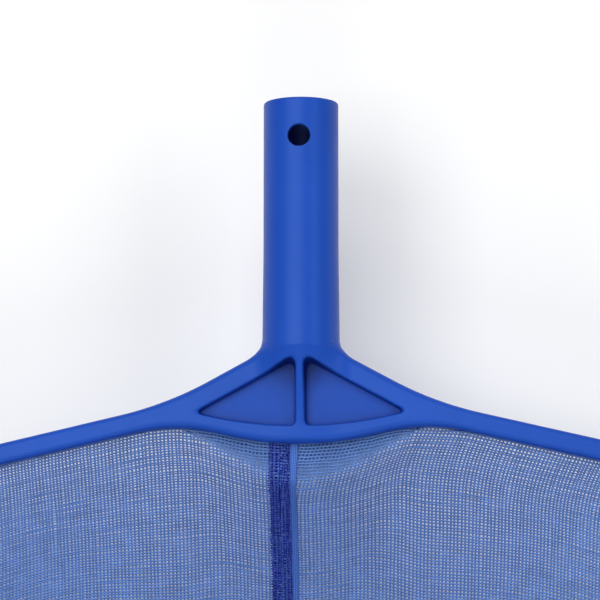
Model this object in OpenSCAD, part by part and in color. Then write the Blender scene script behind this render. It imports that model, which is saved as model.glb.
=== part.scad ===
// Pool leaf skimmer head.
// A handle tube that plugs into a telescopic pole runs into a pocketed gusset and a wide hoop.
// The hoop is two mouldings, front and rear, screwed together round the bound hem of a mesh bag.
// The hoop lies flat in XY with its mouth up, the handle runs along +Y and the bag hangs in -Z.
// The origin is on the handle's axis, level with the cross hole that the pole's button locks in.

/* [Handle] */
// Outside diameter of the handle where it enters the pole
handle_d = 29; // [27:0.5:32]
// Bore of the handle
handle_bore = 23.5; // [18:0.5:25]
// Length of the handle, from the gusset's corners to its open end
handle_length = 97.6; // [85:0.2:150]
// Length of the true round spigot at the open end
spigot_length = 58; // [40:1:65]
// Growth in diameter from the spigot down to the gusset
handle_draft = 0.9; // [0.2:0.1:1.6]
// Diameter of the cross hole in the front wall, for the pole's spring button
clip_hole_d = 8.5; // [6:0.5:10]
// Distance of the cross hole from the open end
clip_hole_inset = 15; // [12:1:25]
// Thickness of the wall that closes the bore at the gusset
bore_end_wall = 9; // [8:0.5:14]
// Chamfer round the open end
rim_chamfer = 0.8; // [0.4:0.1:1.2]

/* [Gusset] */
// Height of the gusset, from the hoop's inner edge to its corners at the handle
gusset_height = 35.2; // [33:0.2:40]
// Slope of the gusset's upper edges
gusset_angle = 28.5; // [27:0.5:31]
// Radius that blends the gusset's upper edge into the arm
gusset_blend = 137; // [110:1:150]
// Web between the upper edge and the pockets
upper_web = 8; // [6:0.5:9]
// Web between the hoop's inner edge and the pockets
lower_web = 6.6; // [6:0.2:8]
// Width of the rib between the pockets
rib_width = 3.6; // [3.4:0.1:5]
// Radius of the pockets' curved base
pocket_base_radius = 160; // [140:5:200]
// Radius of the pockets' corners
pocket_corner = 1.2; // [0.8:0.1:2]
// Thickness of the floor of the front pockets
front_floor = 2; // [1.8:0.1:2.6]
// Thickness of the floor of the rear pockets
rear_floor = 2; // [1.8:0.1:2.4]
// Length over which the tube's crown sweeps down to the gusset's face
crown_sweep = 9.5; // [8:0.5:12]

/* [Hoop] */
// Width of the hoop's bar, seen from the front
bar_width = 8; // [7.6:0.1:10]
// Thickness of the front moulding
front_depth = 6; // [5.4:0.1:8]
// Thickness of the rear moulding
rear_depth = 5; // [4.6:0.1:7]
// Rounding of the front moulding's edges
front_round = 2.2; // [0.8:0.1:2.4]
// Rounding of the rear moulding's edges
rear_round = 1.2; // [0.6:0.1:1.4]
// Radius of the inner edge where it bulges below the gusset
throat_radius = 127; // [110:1:145]
// Sweep of that bulge on each side
throat_angle = 14.5; // [13:0.5:16]
// Radius that turns the bulge into the arm
shoulder_radius = 66; // [60:1:80]
// Slope of the arms
arm_angle = 13; // [11:0.5:16]
// Straight length of each arm
arm_length = 55; // [45:1:70]
// Inner radius of the two back corners
back_corner_radius = 42; // [30:1:55]
// Lean of the sides, wider towards the front
side_lean = 7; // [3:0.5:10]
// Straight length of each side
side_length = 150; // [120:1:180]
// Inner radius of the two front corners
front_corner_radius = 36; // [28:1:50]
// Bow of the front bar on each side of its middle
front_bow = 4; // [2:0.5:6]
// Reach of the rear moulding's throat lip past the inner edge
lip_reach = 13; // [8:0.5:18]
// Half width of the throat lip
lip_half_width = 46; // [38:1:52]
// Thickness of the throat lip
lip_thickness = 1.8; // [1.4:0.1:2.4]

/* [Clamp] */
// Height of the clamp channel in each moulding
channel_height = 1.4; // [1.3:0.1:1.6]
// Width of the lip that closes the channel on the outside
outer_lip = 0.75; // [0.6:0.05:1]
// Distance of the first pair of screws from the middle of the throat, along the edge
first_screw = 63; // [55:1:75]
// Equal spaces from the first pair of screws to the middle of the front bar
screw_spaces = 7; // [6:1:9]
// Diameter of the screws' shanks
screw_d = 2.1; // [1.6:0.1:2.3]
// Diameter of the screws' heads
screw_head_d = 4.2; // [3.8:0.1:4.4]
// Height of the screws' heads
screw_head_height = 1.5; // [1:0.1:1.6]
// Diameter of the pegs round the screws, which pierce the hem
peg_d = 3.4; // [3.2:0.1:3.6]
// Distance of the rib's screw from the middle of the throat
rib_screw_y = 27; // [25:0.5:28]

/* [Bag] */
// Depth of the bag below the hoop
bag_depth = 66; // [40:1:120]
// Thickness of the mesh as a solid sheet
net_thickness = 0.7; // [0.5:0.05:0.8]
// Pitch of the plain grid that stands for the mesh, 12 across the hoop
grid_pitch = 27; // [25:0.5:30]
// Width of that grid's bars, which leave about as much open as the mesh does
grid_bar = 7; // [5:0.5:9]
// Border that stays whole along the hoop and the seam
grid_border = 7; // [7:0.5:12]
// Width of the hem's open fork, which holds the mesh's edge
hem_fork = 1; // [0.6:0.1:1.4]
// Thickness of the hem binding over the mesh
binding_thickness = 0.45; // [0.3:0.05:0.5]
// Distance of the seam from the middle, at the throat
seam_offset = 8; // [4:0.5:14]
// Turn of the seam off the middle line
seam_turn = 2; // [0:0.5:4]
// Width of the seam tape
tape_width = 8; // [5:0.5:12]
// Thickness of the seam tape
tape_thickness = 0.35; // [0.25:0.05:0.4]
// Thickness of the strip of mesh that faces the seam
facing_thickness = 0.4; // [0.2:0.05:0.6]
// Reach of the facing's folded edge past the tape, on its right
facing_reach = 2.2; // [1:0.2:4]
// Width of a row of stitches
stitch_width = 0.5; // [0.3:0.1:0.8]

/* [Hidden] */

// Clearances
flat_gap = 0.05;      // between layers that lie flat in the channel
bowl_gap = 0.2;       // between layers that follow the curve of the bag
parting_gap = 0.3;    // between the rear moulding and the handle's end
screw_gap = 0.05;     // round a screw's shank in its peg
passing_gap = 0.3;    // round a screw's shank in the rear moulding
head_gap = 0.3;       // round and below a screw's head
hem_gap = 0.25;       // between the hem and the channel's closing lip
overlap = 0.5;        // how far joined shapes of one moulding run into each other
bend_inset = 0.02;    // the bends' skin lies this far inside that of the straights they run into

// Handle
handle_r = handle_d / 2;
base_r = handle_r + handle_draft / 2;
tip_y = clip_hole_inset;
corner_y = tip_y - handle_length;
throat_y = corner_y - gusset_height;
crown_share_below = 0.27;
crown_low_y = corner_y - crown_sweep * crown_share_below;
crown_high_y = crown_low_y + crown_sweep;
bore_end_y = corner_y + bore_end_wall;
spigot_y = tip_y - spigot_length;

// The inner edge of the hoop's right half is a walk from the middle of the throat to the middle of
// the front bar. A segment is [turn in degrees, left positive, or 0 for a straight; radius or length].
// A pose is [x, y, heading].
open_segments = [
    [throat_angle, throat_radius],
    [-(throat_angle + arm_angle), shoulder_radius],
    [0, arm_length],
    [-(90 - side_lean - arm_angle), back_corner_radius],
    [0, side_length],
    [-(90 + side_lean - front_bow), front_corner_radius]
];
ARM = 2;
steps = [7, 7, 5, 9, 8, 10, 8];

function advance(p, s, share = 1) =
    s[0] == 0
    ? [p[0] + share * s[1] * cos(p[2]), p[1] + share * s[1] * sin(p[2]), p[2]]
    : let (side = sign(s[0]), h = p[2] + share * s[0])
        [p[0] + side * s[1] * (sin(h) - sin(p[2])), p[1] - side * s[1] * (cos(h) - cos(p[2])), h];
function poses(p, segments, i = 0) =
    i == len(segments) ? [p] : concat([p], poses(advance(p, segments[i]), segments, i + 1));
function segment_length(s) = s[0] == 0 ? s[1] : s[1] * abs(s[0]) * PI / 180;
function total(lengths, i = 0) = i == len(lengths) ? 0 : lengths[i] + total(lengths, i + 1);
function beside(p, u) = [p[0] - u * sin(p[2]), p[1] + u * cos(p[2])];
function pose_at(s, i = 0) =
    let (l = segment_length(edge_segments[i]))
    s <= l || i == len(edge_segments) - 1
    ? advance(edge_poses[i], edge_segments[i], min(1, s / l))
    : pose_at(s - l, i + 1);

front_start = poses([0, throat_y, 0], open_segments)[len(open_segments)];
front_radius = front_start[0] / sin(front_bow);
edge_segments = concat(open_segments, [[-front_bow, front_radius]]);
edge_poses = poses([0, throat_y, 0], edge_segments);
edge_length = total([for (s = edge_segments) segment_length(s)]);
half_samples = concat(
    [for (i = [0:len(edge_segments) - 1]) for (k = [0:steps[i] - 1])
        advance(edge_poses[i], edge_segments[i], k / steps[i])],
    [edge_poses[len(edge_segments)]]);

// The gusset's upper edge: a line from the handle's corner, and an arc that blends it into the arm.
arm_pose = edge_poses[ARM];
arm_outer = beside(arm_pose, bar_width);
meet_x = (corner_y + base_r * tan(gusset_angle) - arm_outer[1] - arm_outer[0] * tan(arm_angle))
    / (tan(gusset_angle) - tan(arm_angle));
meet = [meet_x, corner_y - (meet_x - base_r) * tan(gusset_angle)];
blend_reach = gusset_blend * tan((gusset_angle - arm_angle) / 2);
blend_start = meet - blend_reach * [cos(gusset_angle), -sin(gusset_angle)];
blend_end = meet + blend_reach * [cos(arm_angle), -sin(arm_angle)];
blend_centre = blend_start + gusset_blend * [sin(gusset_angle), cos(gusset_angle)];
blend_steps = 8;
blend_sink = 0.06;    // the blend's last point lies this far inside the arm, so that the two cross
blend_points = [for (i = [0:blend_steps])
    let (a = gusset_angle + (arm_angle - gusset_angle) * i / blend_steps)
    blend_centre - (gusset_blend + (i == blend_steps ? blend_sink : 0)) * [sin(a), cos(a)]];
arm_end_pose = advance(arm_pose, [0, norm(blend_end - arm_outer)]);

function mirrored(points) = [for (i = [len(points) - 1:-1:0]) [-points[i][0], points[i][1]]];
// The gusset's outline, down to u beyond the hoop's inner edge. It has no corner where two segments meet.
function gusset_outline(u) =
    let (
        low = [for (i = [0:steps[0] + steps[1] - 1]) if (i != steps[0]) beside(half_samples[i], u)],
        right = concat(low, [beside(arm_end_pose, u)],
            [for (i = [blend_steps:-1:0]) blend_points[i]], [[base_r, corner_y]]))
    concat(right, mirrored([for (i = [1:len(right) - 1]) right[i]]));

// Sections of the bar: u runs outward from the inner edge, and the second number is the height.
corner_steps = 4;
function arc(cx, cy, r, a0, a1) = [for (i = [0:corner_steps])
    let (a = a0 + (a1 - a0) * i / corner_steps) [cx + r * cos(a), cy + r * sin(a)]];
function bar_section(depth, round) = concat(
    [[0, channel_height]],
    arc(round, depth - round, round, 180, 90),
    arc(bar_width - round, depth - round, round, 90, 0),
    [[bar_width, 0], [bar_width - outer_lip, 0], [bar_width - outer_lip, channel_height]]);
function flipped(points) = [for (i = [len(points) - 1:-1:0]) [points[i][0], -points[i][1]]];

// A closed outline moved inward by d. Its points run clockwise.
function outward(a, b) = let (t = (b - a) / norm(b - a)) [-t[1], t[0]];
function shrunk(points, d) =
    let (n = len(points))
    [for (i = [0:n - 1])
        let (
            before = outward(points[(i + n - 1) % n], points[i]),
            after = outward(points[i], points[(i + 1) % n]))
        points[i] - d * (before + after) / (1 + before * after)];

// Hem
fork_start = 0.9;
hem_end = bar_width - outer_lip - hem_gap;
mesh_edge = fork_start + hem_fork;
mesh_half = net_thickness / 2;
fork_in = mesh_half + flat_gap;
hem_half = fork_in + binding_thickness;
hem_section = [
    [fork_start, fork_in], [fork_start, hem_half], [hem_end, hem_half], [hem_end, -hem_half],
    [fork_start, -hem_half], [fork_start, -fork_in], [mesh_edge + flat_gap, -fork_in],
    [mesh_edge + flat_gap, fork_in]
];
thread_u = fork_start + hem_fork / 2;
thread_height = 0.15;
thread_section = [for (c = [[0, 0], [0, 1], [1, 1], [1, 0]])
    [thread_u + (c[0] - 0.5) * stitch_width, hem_half + flat_gap / 2 + c[1] * thread_height]];

// Screws
screw_u = bar_width / 2;
screw_step = (edge_length - first_screw) / screw_spaces;
pair_places = [for (k = [0:screw_spaces - 1]) beside(pose_at(first_screw + k * screw_step), screw_u)];
edge_screws = concat(
    [beside(edge_poses[0], screw_u), beside(edge_poses[len(edge_segments)], screw_u)],
    [for (p = pair_places) p], [for (p = pair_places) [-p[0], p[1]]]);
rib_screw = [0, throat_y + rib_screw_y];
screw_top = front_depth - 2;
pilot_top = screw_top + 0.3;
head_recess = screw_head_height + head_gap;
seat_z = -rear_depth + head_recess;
peg_low = -(channel_height - 0.2);
screw_boss_r = screw_head_d / 2 + head_gap + 1.1;
SLOT_WIDTH = 0.6;
SLOT_DEPTH = 0.8;

// Bag. Its release line, where the mesh leaves its support, is held as distances from a centre on
// the seam, against the angle there. Inside that line the mesh hangs as a bowl.
bag_middle_y = (throat_y + edge_poses[len(edge_segments)][1]) / 2;
seam_heading = 90 - seam_turn;
bag_centre = [-seam_offset - (throat_y - bag_middle_y) * tan(seam_turn), bag_middle_y];
bowl_rings = 14;
rim_crowding = 1.6;   // gathers the rings of the bowl towards its rim
rim_round = 0.035;    // share of the way in over which the mesh turns down from its support
release_gap = 0.3;

function lip_depth(x) = abs(x) < lip_half_width ? lip_reach * (1 - pow(abs(x) / lip_half_width, 1.5)) : 0;
function is_back(p) = cos(p[2]) > 0 && p[1] > bag_middle_y;
function released(p) = is_back(p) ? [p[0], p[1] - (lip_depth(p[0]) > 0 ? lip_depth(p[0]) + release_gap : 0)]
    : [p[0], p[1]];
// The angle at the bag's centre, from the seam's front end round the right side to its back end and on.
function turn_of(q) =
    let (d = q - bag_centre, a = atan2(d[1], d[0]) - (seam_heading - 180))
    a < 0 ? a + 360 : a;
function polar(q) = [turn_of(q), norm(q - bag_centre)];
function inserted(row, rows) = concat([for (r = rows) if (r[0] < row[0]) r], [row], [for (r = rows) if (r[0] > row[0]) r]);
function ordered(rows, i = 0, done = []) = i == len(rows) ? done : ordered(rows, i + 1, inserted(rows[i], done));
function closed_loop(half) = concat(half, mirrored([for (i = [1:len(half) - 2]) half[i]]));
function whole_loop(points) = concat(points, [for (i = [1:len(points) - 2]) [-points[i][0], points[i][1]]]);
function wrapped(rows) =
    let (n = len(rows))
    concat([[rows[n - 1][0] - 360, rows[n - 1][1]]], rows, [[rows[0][0] + 360, rows[0][1]]]);
function table_of(points) = wrapped(ordered([for (q = whole_loop(points)) polar(q)]));
release_line = [for (p = half_samples) released(p)];
release_table = table_of(release_line);
mesh_edge_table = table_of([for (p = half_samples) beside(p, mesh_edge)]);

function bowl(share) =
    share >= 1 ? 0 : -bag_depth * (1 - share * share) * (1 - exp((share - 1) / rim_round));
function ring_share(j) = 1 - pow(j / bowl_rings, rim_crowding);
function at(turn, reach) =
    bag_centre + reach * [cos(turn + seam_heading - 180), sin(turn + seam_heading - 180)];
function bag_z(q) = bowl(norm(q - bag_centre) / lookup(turn_of(q), release_table));

function grid_faces(columns, rows, start) = [for (i = [0:columns - 2]) for (j = [0:rows - 2])
    let (a = start + i * rows + j, b = a + rows) each [[a, b, a + 1], [b, b + 1, a + 1]]];
function turned_over(faces) = [for (f = faces) [f[2], f[1], f[0]]];

// One panel of the bag, from one end of the seam round to the other.
module bowl_panel(from) {
    turns = concat([from],
        [for (r = release_table) if (r[0] > from + 0.5 && r[0] < from + 179.5) r[0]], [from + 180]);
    columns = len(turns);
    rows = bowl_rings + 1;
    surface = [for (t = turns)
        let (reach = lookup(t, release_table))
        each concat(
            [let (q = at(t, lookup(t, mesh_edge_table))) [q[0], q[1], 0]],
            [for (j = [0:bowl_rings - 1])
                let (share = ring_share(j), q = at(t, reach * share)) [q[0], q[1], bowl(share)]])];
    top = [for (p = surface) p + [0, 0, mesh_half]];
    bottom = [for (p = surface) p - [0, 0, mesh_half]];
    n = len(surface);
    pole = [bag_centre[0], bag_centre[1], bowl(0)];
    points = concat(top, bottom, [pole + [0, 0, mesh_half], pole - [0, 0, mesh_half]]);
    last = (columns - 1) * rows;
    faces = concat(
        turned_over(grid_faces(columns, rows, 0)),
        grid_faces(columns, rows, n),
        [for (i = [0:columns - 2]) [2 * n, (i + 1) * rows + rows - 1, i * rows + rows - 1]],
        [for (i = [0:columns - 2]) [2 * n + 1, n + i * rows + rows - 1, n + (i + 1) * rows + rows - 1]],
        [for (i = [0:columns - 2]) each [
            [i * rows, (i + 1) * rows, n + i * rows],
            [(i + 1) * rows, n + (i + 1) * rows, n + i * rows]]],
        [for (j = [0:rows - 2]) each [
            [j, n + j, j + 1], [n + j, n + j + 1, j + 1],
            [last + j + 1, n + last + j, last + j], [last + j + 1, n + last + j + 1, n + last + j]]],
        [[rows - 1, n + rows - 1, 2 * n], [n + rows - 1, 2 * n + 1, 2 * n],
            [2 * n, n + last + rows - 1, last + rows - 1], [2 * n, 2 * n + 1, n + last + rows - 1]]);
    polyhedron(points, faces);
}

// The openings of the plain grid on one side of the seam: squares in line with the seam that end
// short of the hoop. What the hoop's border leaves of a square is dropped where it is narrow.
grid_columns = 6;
grid_rows = 4;
narrow = 5;
module grid_openings(side) {
    opening = grid_pitch - grid_bar;
    offset(delta = narrow / 2) offset(delta = -narrow / 2)
        intersection() {
            offset(delta = -grid_border) polygon(closed_loop(release_line));
            translate(bag_centre) rotate(-seam_turn)
                for (i = [0:grid_columns - 1], j = [-grid_rows:grid_rows])
                    translate([side * (grid_border + opening / 2 + i * grid_pitch), (j + 0.5) * grid_pitch])
                        square(opening, center = true);
        }
}
module net_panel(from) {
    difference() {
        bowl_panel(from);
        translate([0, 0, -2 * bag_depth])
            linear_extrude(4 * bag_depth) grid_openings(from == 0 ? 1 : -1);
    }
}

// A band that follows the seam, through the given places beside it and from low to high above the mesh.
seam_tuck = 0.7;
seam_back = lookup(180, mesh_edge_table) - mesh_edge + seam_tuck;
seam_front = lookup(0, mesh_edge_table) - mesh_edge + seam_tuck;
seam_stations = concat(
    [-seam_front],
    [for (j = [0:bowl_rings]) -lookup(0, release_table) * ring_share(j)],
    [for (j = [bowl_rings - 1:-1:0]) lookup(180, release_table) * ring_share(j)],
    [seam_back]);
seam_steps = len(seam_stations) - 1;
module seam_band(places, low, high) {
    along = [cos(seam_heading), sin(seam_heading)];
    across = [sin(seam_heading), -cos(seam_heading)];
    spots = [for (d = seam_stations) for (w = places) bag_centre + d * along + w * across];
    n = len(spots);
    m = len(places);
    points = concat(
        [for (q = spots) [q[0], q[1], bag_z(q) + low]],
        [for (q = spots) [q[0], q[1], bag_z(q) + high]]);
    faces = concat(
        [for (i = [0:seam_steps - 1]) for (k = [0:m - 2])
            let (a = i * m + k)
            each [
                [a, a + m, a + 1], [a + 1, a + m, a + m + 1],
                [n + a, n + a + 1, n + a + m], [n + a + 1, n + a + m + 1, n + a + m]]],
        [for (i = [0:seam_steps - 1])
            let (a = i * m, b = a + m - 1)
            each [
                [a, n + a, a + m], [a + m, n + a, n + a + m],
                [b, b + m, n + b], [b + m, n + b + m, n + b]]],
        [for (k = [0:m - 2])
            let (e = n - m + k)
            each [
                [k, k + 1, n + k], [k + 1, n + k + 1, n + k],
                [e, n + e, e + 1], [e + 1, n + e, n + e + 1]]]);
    polyhedron(points, faces);
}

// A section swept along the whole inner edge of the hoop. The bends between the straights and the
// two middle arcs run a little into them, with their skin just inside.
last_segment = len(edge_segments) - 1;
module swept(section) {
    slim = shrunk(section, bend_inset);
    middle_arc(edge_poses[0], edge_segments[0], section);
    middle_arc(edge_poses[last_segment], edge_segments[last_segment], section);
    for (m = [0, 1])
        mirror([m, 0, 0])
            for (i = [1:last_segment - 1])
                if (edge_segments[i][0] == 0) straight(edge_poses[i], edge_segments[i][1], section);
                else bend(edge_poses[i], edge_segments[i], slim);
}
function fine(angle) = max(96, 10 * ceil(360 / angle));
module straight(p, length, section) {
    translate([p[0], p[1], 0]) rotate([90, 0, p[2] + 90]) linear_extrude(length) polygon(section);
}
module bend(p, s, section) {
    centre = beside(p, -s[1]);
    bite = overlap / s[1] * 180 / PI;
    translate([centre[0], centre[1], 0]) rotate([0, 0, p[2] + s[0] + 90 - bite])
        rotate_extrude(angle = 2 * bite - s[0], $fn = fine(-s[0])) polygon([for (q = section) [s[1] + q[0], q[1]]]);
}
// The throat's arc turns left and the front bar's turns right; both stand square across the middle.
module middle_arc(p, s, section) {
    if (s[0] > 0)
        translate([0, p[1] + s[1], 0]) rotate([0, 0, -90 - s[0]])
            rotate_extrude(angle = 2 * s[0], $fn = fine(2 * s[0])) polygon([for (q = section) [s[1] - q[0], q[1]]]);
    else
        translate([0, beside(p, -s[1])[1], 0]) rotate([0, 0, -90 + s[0]])
            rotate_extrude(angle = -2 * s[0], $fn = fine(-2 * s[0])) polygon([for (q = section) [s[1] + q[0], q[1]]]);
}

// A round solid or hole along the handle, from y0 to y1. Its surface closes along the rear.
module along_handle(y0, y1, r0, r1) {
    translate([0, y0, 0]) rotate([-90, 0, 0]) rotate(90) cylinder(h = y1 - y0, r1 = r0, r2 = r1, $fn = 96);
}

// Side view of the handle: its crown and its underside sweep down to the two faces of the gusset.
sweep_steps = 10;
function swept_down(from, share) = from + (base_r - from) * (1 - cos(180 * share)) / 2;
handle_side = concat(
    [for (i = [0:sweep_steps])
        [crown_low_y + crown_sweep * i / sweep_steps, swept_down(front_depth, i / sweep_steps)]],
    [[crown_high_y, base_r + 1], [tip_y + 1, base_r + 1], [tip_y + 1, -base_r - 1], [crown_high_y, -base_r - 1]],
    [for (i = [sweep_steps:-1:0])
        [crown_low_y + crown_sweep * i / sweep_steps, -swept_down(rear_depth, i / sweep_steps)]]);

module handle_solid() {
    intersection() {
        union() {
            along_handle(crown_low_y, spigot_y, base_r, handle_r);
            along_handle(spigot_y, tip_y - rim_chamfer, handle_r, handle_r);
            along_handle(tip_y - rim_chamfer, tip_y, handle_r, handle_r - rim_chamfer);
        }
        rotate([90, 0, 90]) linear_extrude(4 * base_r, center = true) polygon(handle_side);
    }
}

// One pocket of the gusset, seen from the front, on the right.
module pocket_outline() {
    half_rib = rib_width / 2;
    inset = upper_web / cos(gusset_angle);
    high_y = corner_y - (half_rib - base_r) * tan(gusset_angle) - inset;
    far_x = meet_x;
    far_y = corner_y - (far_x - base_r) * tan(gusset_angle) - inset;
    base_y = throat_y + lower_web + pocket_base_radius;
    base_steps = 10;
    offset(r = pocket_corner, $fn = 32) offset(delta = -pocket_corner)
        intersection() {
            polygon([[half_rib, throat_y], [half_rib, high_y], [far_x, far_y], [far_x, throat_y]]);
            polygon(concat([[half_rib, high_y + 1]], [for (i = [0:base_steps])
                let (x = half_rib + (far_x - half_rib) * i / base_steps)
                [x, base_y - sqrt(pocket_base_radius * pocket_base_radius - x * x)]], [[far_x, high_y + 1]]));
        }
}
module pockets(z0, z1) {
    for (m = [0, 1])
        mirror([m, 0, 0]) translate([0, 0, z0]) linear_extrude(z1 - z0) pocket_outline();
}

module gusset_plate(u, z0, z1) {
    translate([0, 0, z0]) linear_extrude(z1 - z0) polygon(gusset_outline(u));
}
module upright(place, z0, z1, r) {
    translate([place[0], place[1], z0]) cylinder(h = z1 - z0, r = r, $fn = 32);
}

module front_frame() {
    color([0.16, 0.33, 0.74])
        difference() {
            union() {
                difference() {
                    union() {
                        swept(bar_section(front_depth, front_round));
                        gusset_plate(bar_width - outer_lip / 2, 0, front_depth);
                        gusset_plate(screw_u, channel_height + overlap, front_depth);
                    }
                    pockets(front_floor, front_depth + 1);
                }
                handle_solid();
                for (p = edge_screws)
                    upright(p, peg_low, channel_height + overlap, peg_d / 2);
            }
            along_handle(bore_end_y, tip_y + 1, handle_bore / 2, handle_bore / 2);
            along_handle(tip_y - rim_chamfer, tip_y + rim_chamfer,
                handle_bore / 2, handle_bore / 2 + 2 * rim_chamfer);
            cylinder(h = handle_d, d = clip_hole_d, $fn = 48);
            for (p = edge_screws)
                upright(p, peg_low - 1, pilot_top, screw_d / 2 + screw_gap);
            upright(rib_screw, -1, pilot_top, screw_d / 2 + screw_gap);
        }
}

// The lip that backs the mesh below the gusset.
module throat_lip() {
    lip_steps = 12;
    edge = [for (i = [-lip_steps:lip_steps])
        let (x = lip_half_width * i / lip_steps)
        [x, edge_y(x) - lip_depth(x)]];
    root = [for (i = [lip_steps:-1:-lip_steps])
        let (x = lip_half_width * i / lip_steps)
        [x, edge_y(x) + 2 * overlap]];
    translate([0, 0, -channel_height - lip_thickness])
        linear_extrude(lip_thickness) polygon(concat(edge, root));
}
// The inner edge's own height over x, near the throat.
edge_table = [for (i = [0:steps[0] + steps[1] + 1]) [half_samples[i][0], half_samples[i][1]]];
function edge_y(x) = lookup(abs(x), edge_table);

module rear_frame() {
    color([0.12, 0.27, 0.62])
        difference() {
            union() {
                difference() {
                    union() {
                        swept(flipped(bar_section(rear_depth, rear_round)));
                        gusset_plate(bar_width - outer_lip / 2, -rear_depth, 0);
                        gusset_plate(screw_u, -rear_depth, -channel_height - overlap);
                    }
                    pockets(-rear_depth - 1, -rear_floor);
                }
                throat_lip();
                upright(rib_screw, -rear_depth, 0, screw_boss_r);
            }
            translate([-base_r - parting_gap, crown_low_y - parting_gap, -rear_depth - 1])
                cube([2 * (base_r + parting_gap), gusset_height, rear_depth + 2]);
            for (p = concat(edge_screws, [rib_screw])) {
                upright(p, -rear_depth - 1, 1, screw_d / 2 + passing_gap);
                upright(p, -rear_depth - 1, seat_z, screw_head_d / 2 + head_gap);
            }
        }
}

module screw() {
    difference() {
        union() {
            translate([0, 0, seat_z - screw_head_height]) cylinder(h = screw_head_height, d = screw_head_d, $fn = 32);
            translate([0, 0, seat_z - overlap]) cylinder(h = screw_top - seat_z + overlap, d = screw_d, $fn = 24);
        }
        for (turn = [0, 90])
            rotate([0, 0, turn])
                translate([0, 0, seat_z - screw_head_height])
                    cube([screw_head_d * 0.65, SLOT_WIDTH, 2 * SLOT_DEPTH], center = true);
    }
}
module clamp_screws() {
    color("silver")
        for (p = concat(edge_screws, [rib_screw]))
            translate([p[0], p[1], 0]) screw();
}

module net_left() {
    color([0.55, 0.68, 0.88, 0.6]) net_panel(180);
}
module net_right() {
    color([0.62, 0.74, 0.92, 0.6]) net_panel(0);
}

module hem_binding() {
    color([0.1, 0.16, 0.42])
        difference() {
            swept(hem_section);
            for (p = edge_screws)
                upright(p, -rear_depth, front_depth, peg_d / 2 + flat_gap);
        }
}
module hem_thread() {
    color([0.2, 0.28, 0.6]) {
        swept(thread_section);
        swept(flipped(thread_section));
    }
}

// The layers on the seam: the tape is outside the bag, the facing and the sewing are inside.
facing_low = mesh_half + bowl_gap;
facing_high = facing_low + facing_thickness;
facing_edge = 0.2;
stitch_height = 0.12;
stitch_inset = 1;

module seam_tape() {
    color([0.1, 0.13, 0.45])
        seam_band([-tape_width / 2, 0, tape_width / 2],
            -mesh_half - bowl_gap - tape_thickness, -mesh_half - bowl_gap);
}
module seam_facing() {
    color([0.35, 0.5, 0.8])
        seam_band([-tape_width / 2 - facing_edge, 0, tape_width / 2 + facing_reach], facing_low, facing_high);
}
module seam_thread() {
    color([0.45, 0.52, 0.85])
        for (side = [-1, 1]) {
            middle = side * (tape_width / 2 - stitch_inset);
            seam_band([middle - stitch_width / 2, middle + stitch_width / 2],
                facing_high + flat_gap, facing_high + flat_gap + stitch_height);
        }
}

front_frame();
rear_frame();
clamp_screws();
net_left();
net_right();
hem_binding();
hem_thread();
seam_tape();
seam_facing();
seam_thread();
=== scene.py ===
"""Leaf skimmer head: the dressed mouldings, the net bag with its seam and hem, and a plain pale studio.

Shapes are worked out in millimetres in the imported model's frame and turned into metres as meshes are made.
"""

import math

import bpy
import numpy as np
from mathutils import Matrix, Vector
from mathutils.geometry import tessellate_polygon


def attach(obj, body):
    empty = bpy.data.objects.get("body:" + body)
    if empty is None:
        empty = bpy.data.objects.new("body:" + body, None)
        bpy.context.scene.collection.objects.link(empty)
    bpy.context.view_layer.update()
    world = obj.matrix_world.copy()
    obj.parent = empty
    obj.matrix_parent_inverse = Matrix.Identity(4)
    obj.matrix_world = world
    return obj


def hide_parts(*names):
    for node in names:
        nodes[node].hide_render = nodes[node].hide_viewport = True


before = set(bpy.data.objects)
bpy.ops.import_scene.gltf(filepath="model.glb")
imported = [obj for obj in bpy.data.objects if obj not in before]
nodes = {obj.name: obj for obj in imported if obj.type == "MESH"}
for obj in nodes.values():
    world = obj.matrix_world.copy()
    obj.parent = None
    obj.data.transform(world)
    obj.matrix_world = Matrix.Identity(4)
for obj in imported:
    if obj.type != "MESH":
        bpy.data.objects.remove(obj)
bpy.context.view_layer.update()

MM = 0.001

# Handle
SPIGOT_R = 14.5
BASE_R = 14.95
BORE_R = 11.75
TIP_Y = 15.0
SPIGOT_Y = -43.0
CORNER_Y = -82.6
UNDER_LOW_Y = -85.165
UNDER_SWEEP = 9.5
BORE_END_Y = -73.6
CLIP_HOLE_R = 4.25
UNDER_STRAIGHT = 0.72   # share of the underside's S at which it goes on straight
UNDER_STEEPNESS = 0.6
UNDER_ROUND = 2.6
RIM_EDGE_ROUND = 1.1
BORE_MOUTH_CHAMFER = 0.8

# The ramp at the tube's foot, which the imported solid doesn't have
FOOT_Y = -80.8          # where the tube's front ends and its ramp begins
RAMP_LENGTH = 28.0
RAMP_DROP = 20.0        # of the ramp's axis over its length
RAMP_FLARE = 11.1       # of the ramp's radius over its length
RAMP_BEYOND = 1.4       # share of its length at which it ends, inside the plate
RAMP_SCALE = 0.92       # brings the slope of the distance to the ramp near 1
RAMP_OVERLAP = 2.0      # how far it runs into the tube
FOOT_BLEND = 5.0
FOOT_SETBACK = 4.0      # of the foot from the hoop's inner edge

# Gusset
THROAT_Y = -117.8
GUSSET_ANGLE = math.radians(28.5)
GUSSET_BLEND = 137.0
UPPER_WEB = 8.0
LOWER_WEB = 6.6
HALF_RIB = 1.8
POCKET_BASE_R = 160.0
POCKET_FLOOR = 2.0
POCKET_DRAFT = math.radians(4.0)
POCKET_EDGE = 0.9
POCKET_APEX = 4.8       # how soon the pocket's corners turn, by the tube
POCKET_CORNER = 2.5     # the same at its base
POCKET_FILLET = 0.4
SINK_MARKS = [(62.0, -109.2), (-62.0, -109.2)]
SINK_DEPTH = 0.14
SINK_SPREAD = 2.6

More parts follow.
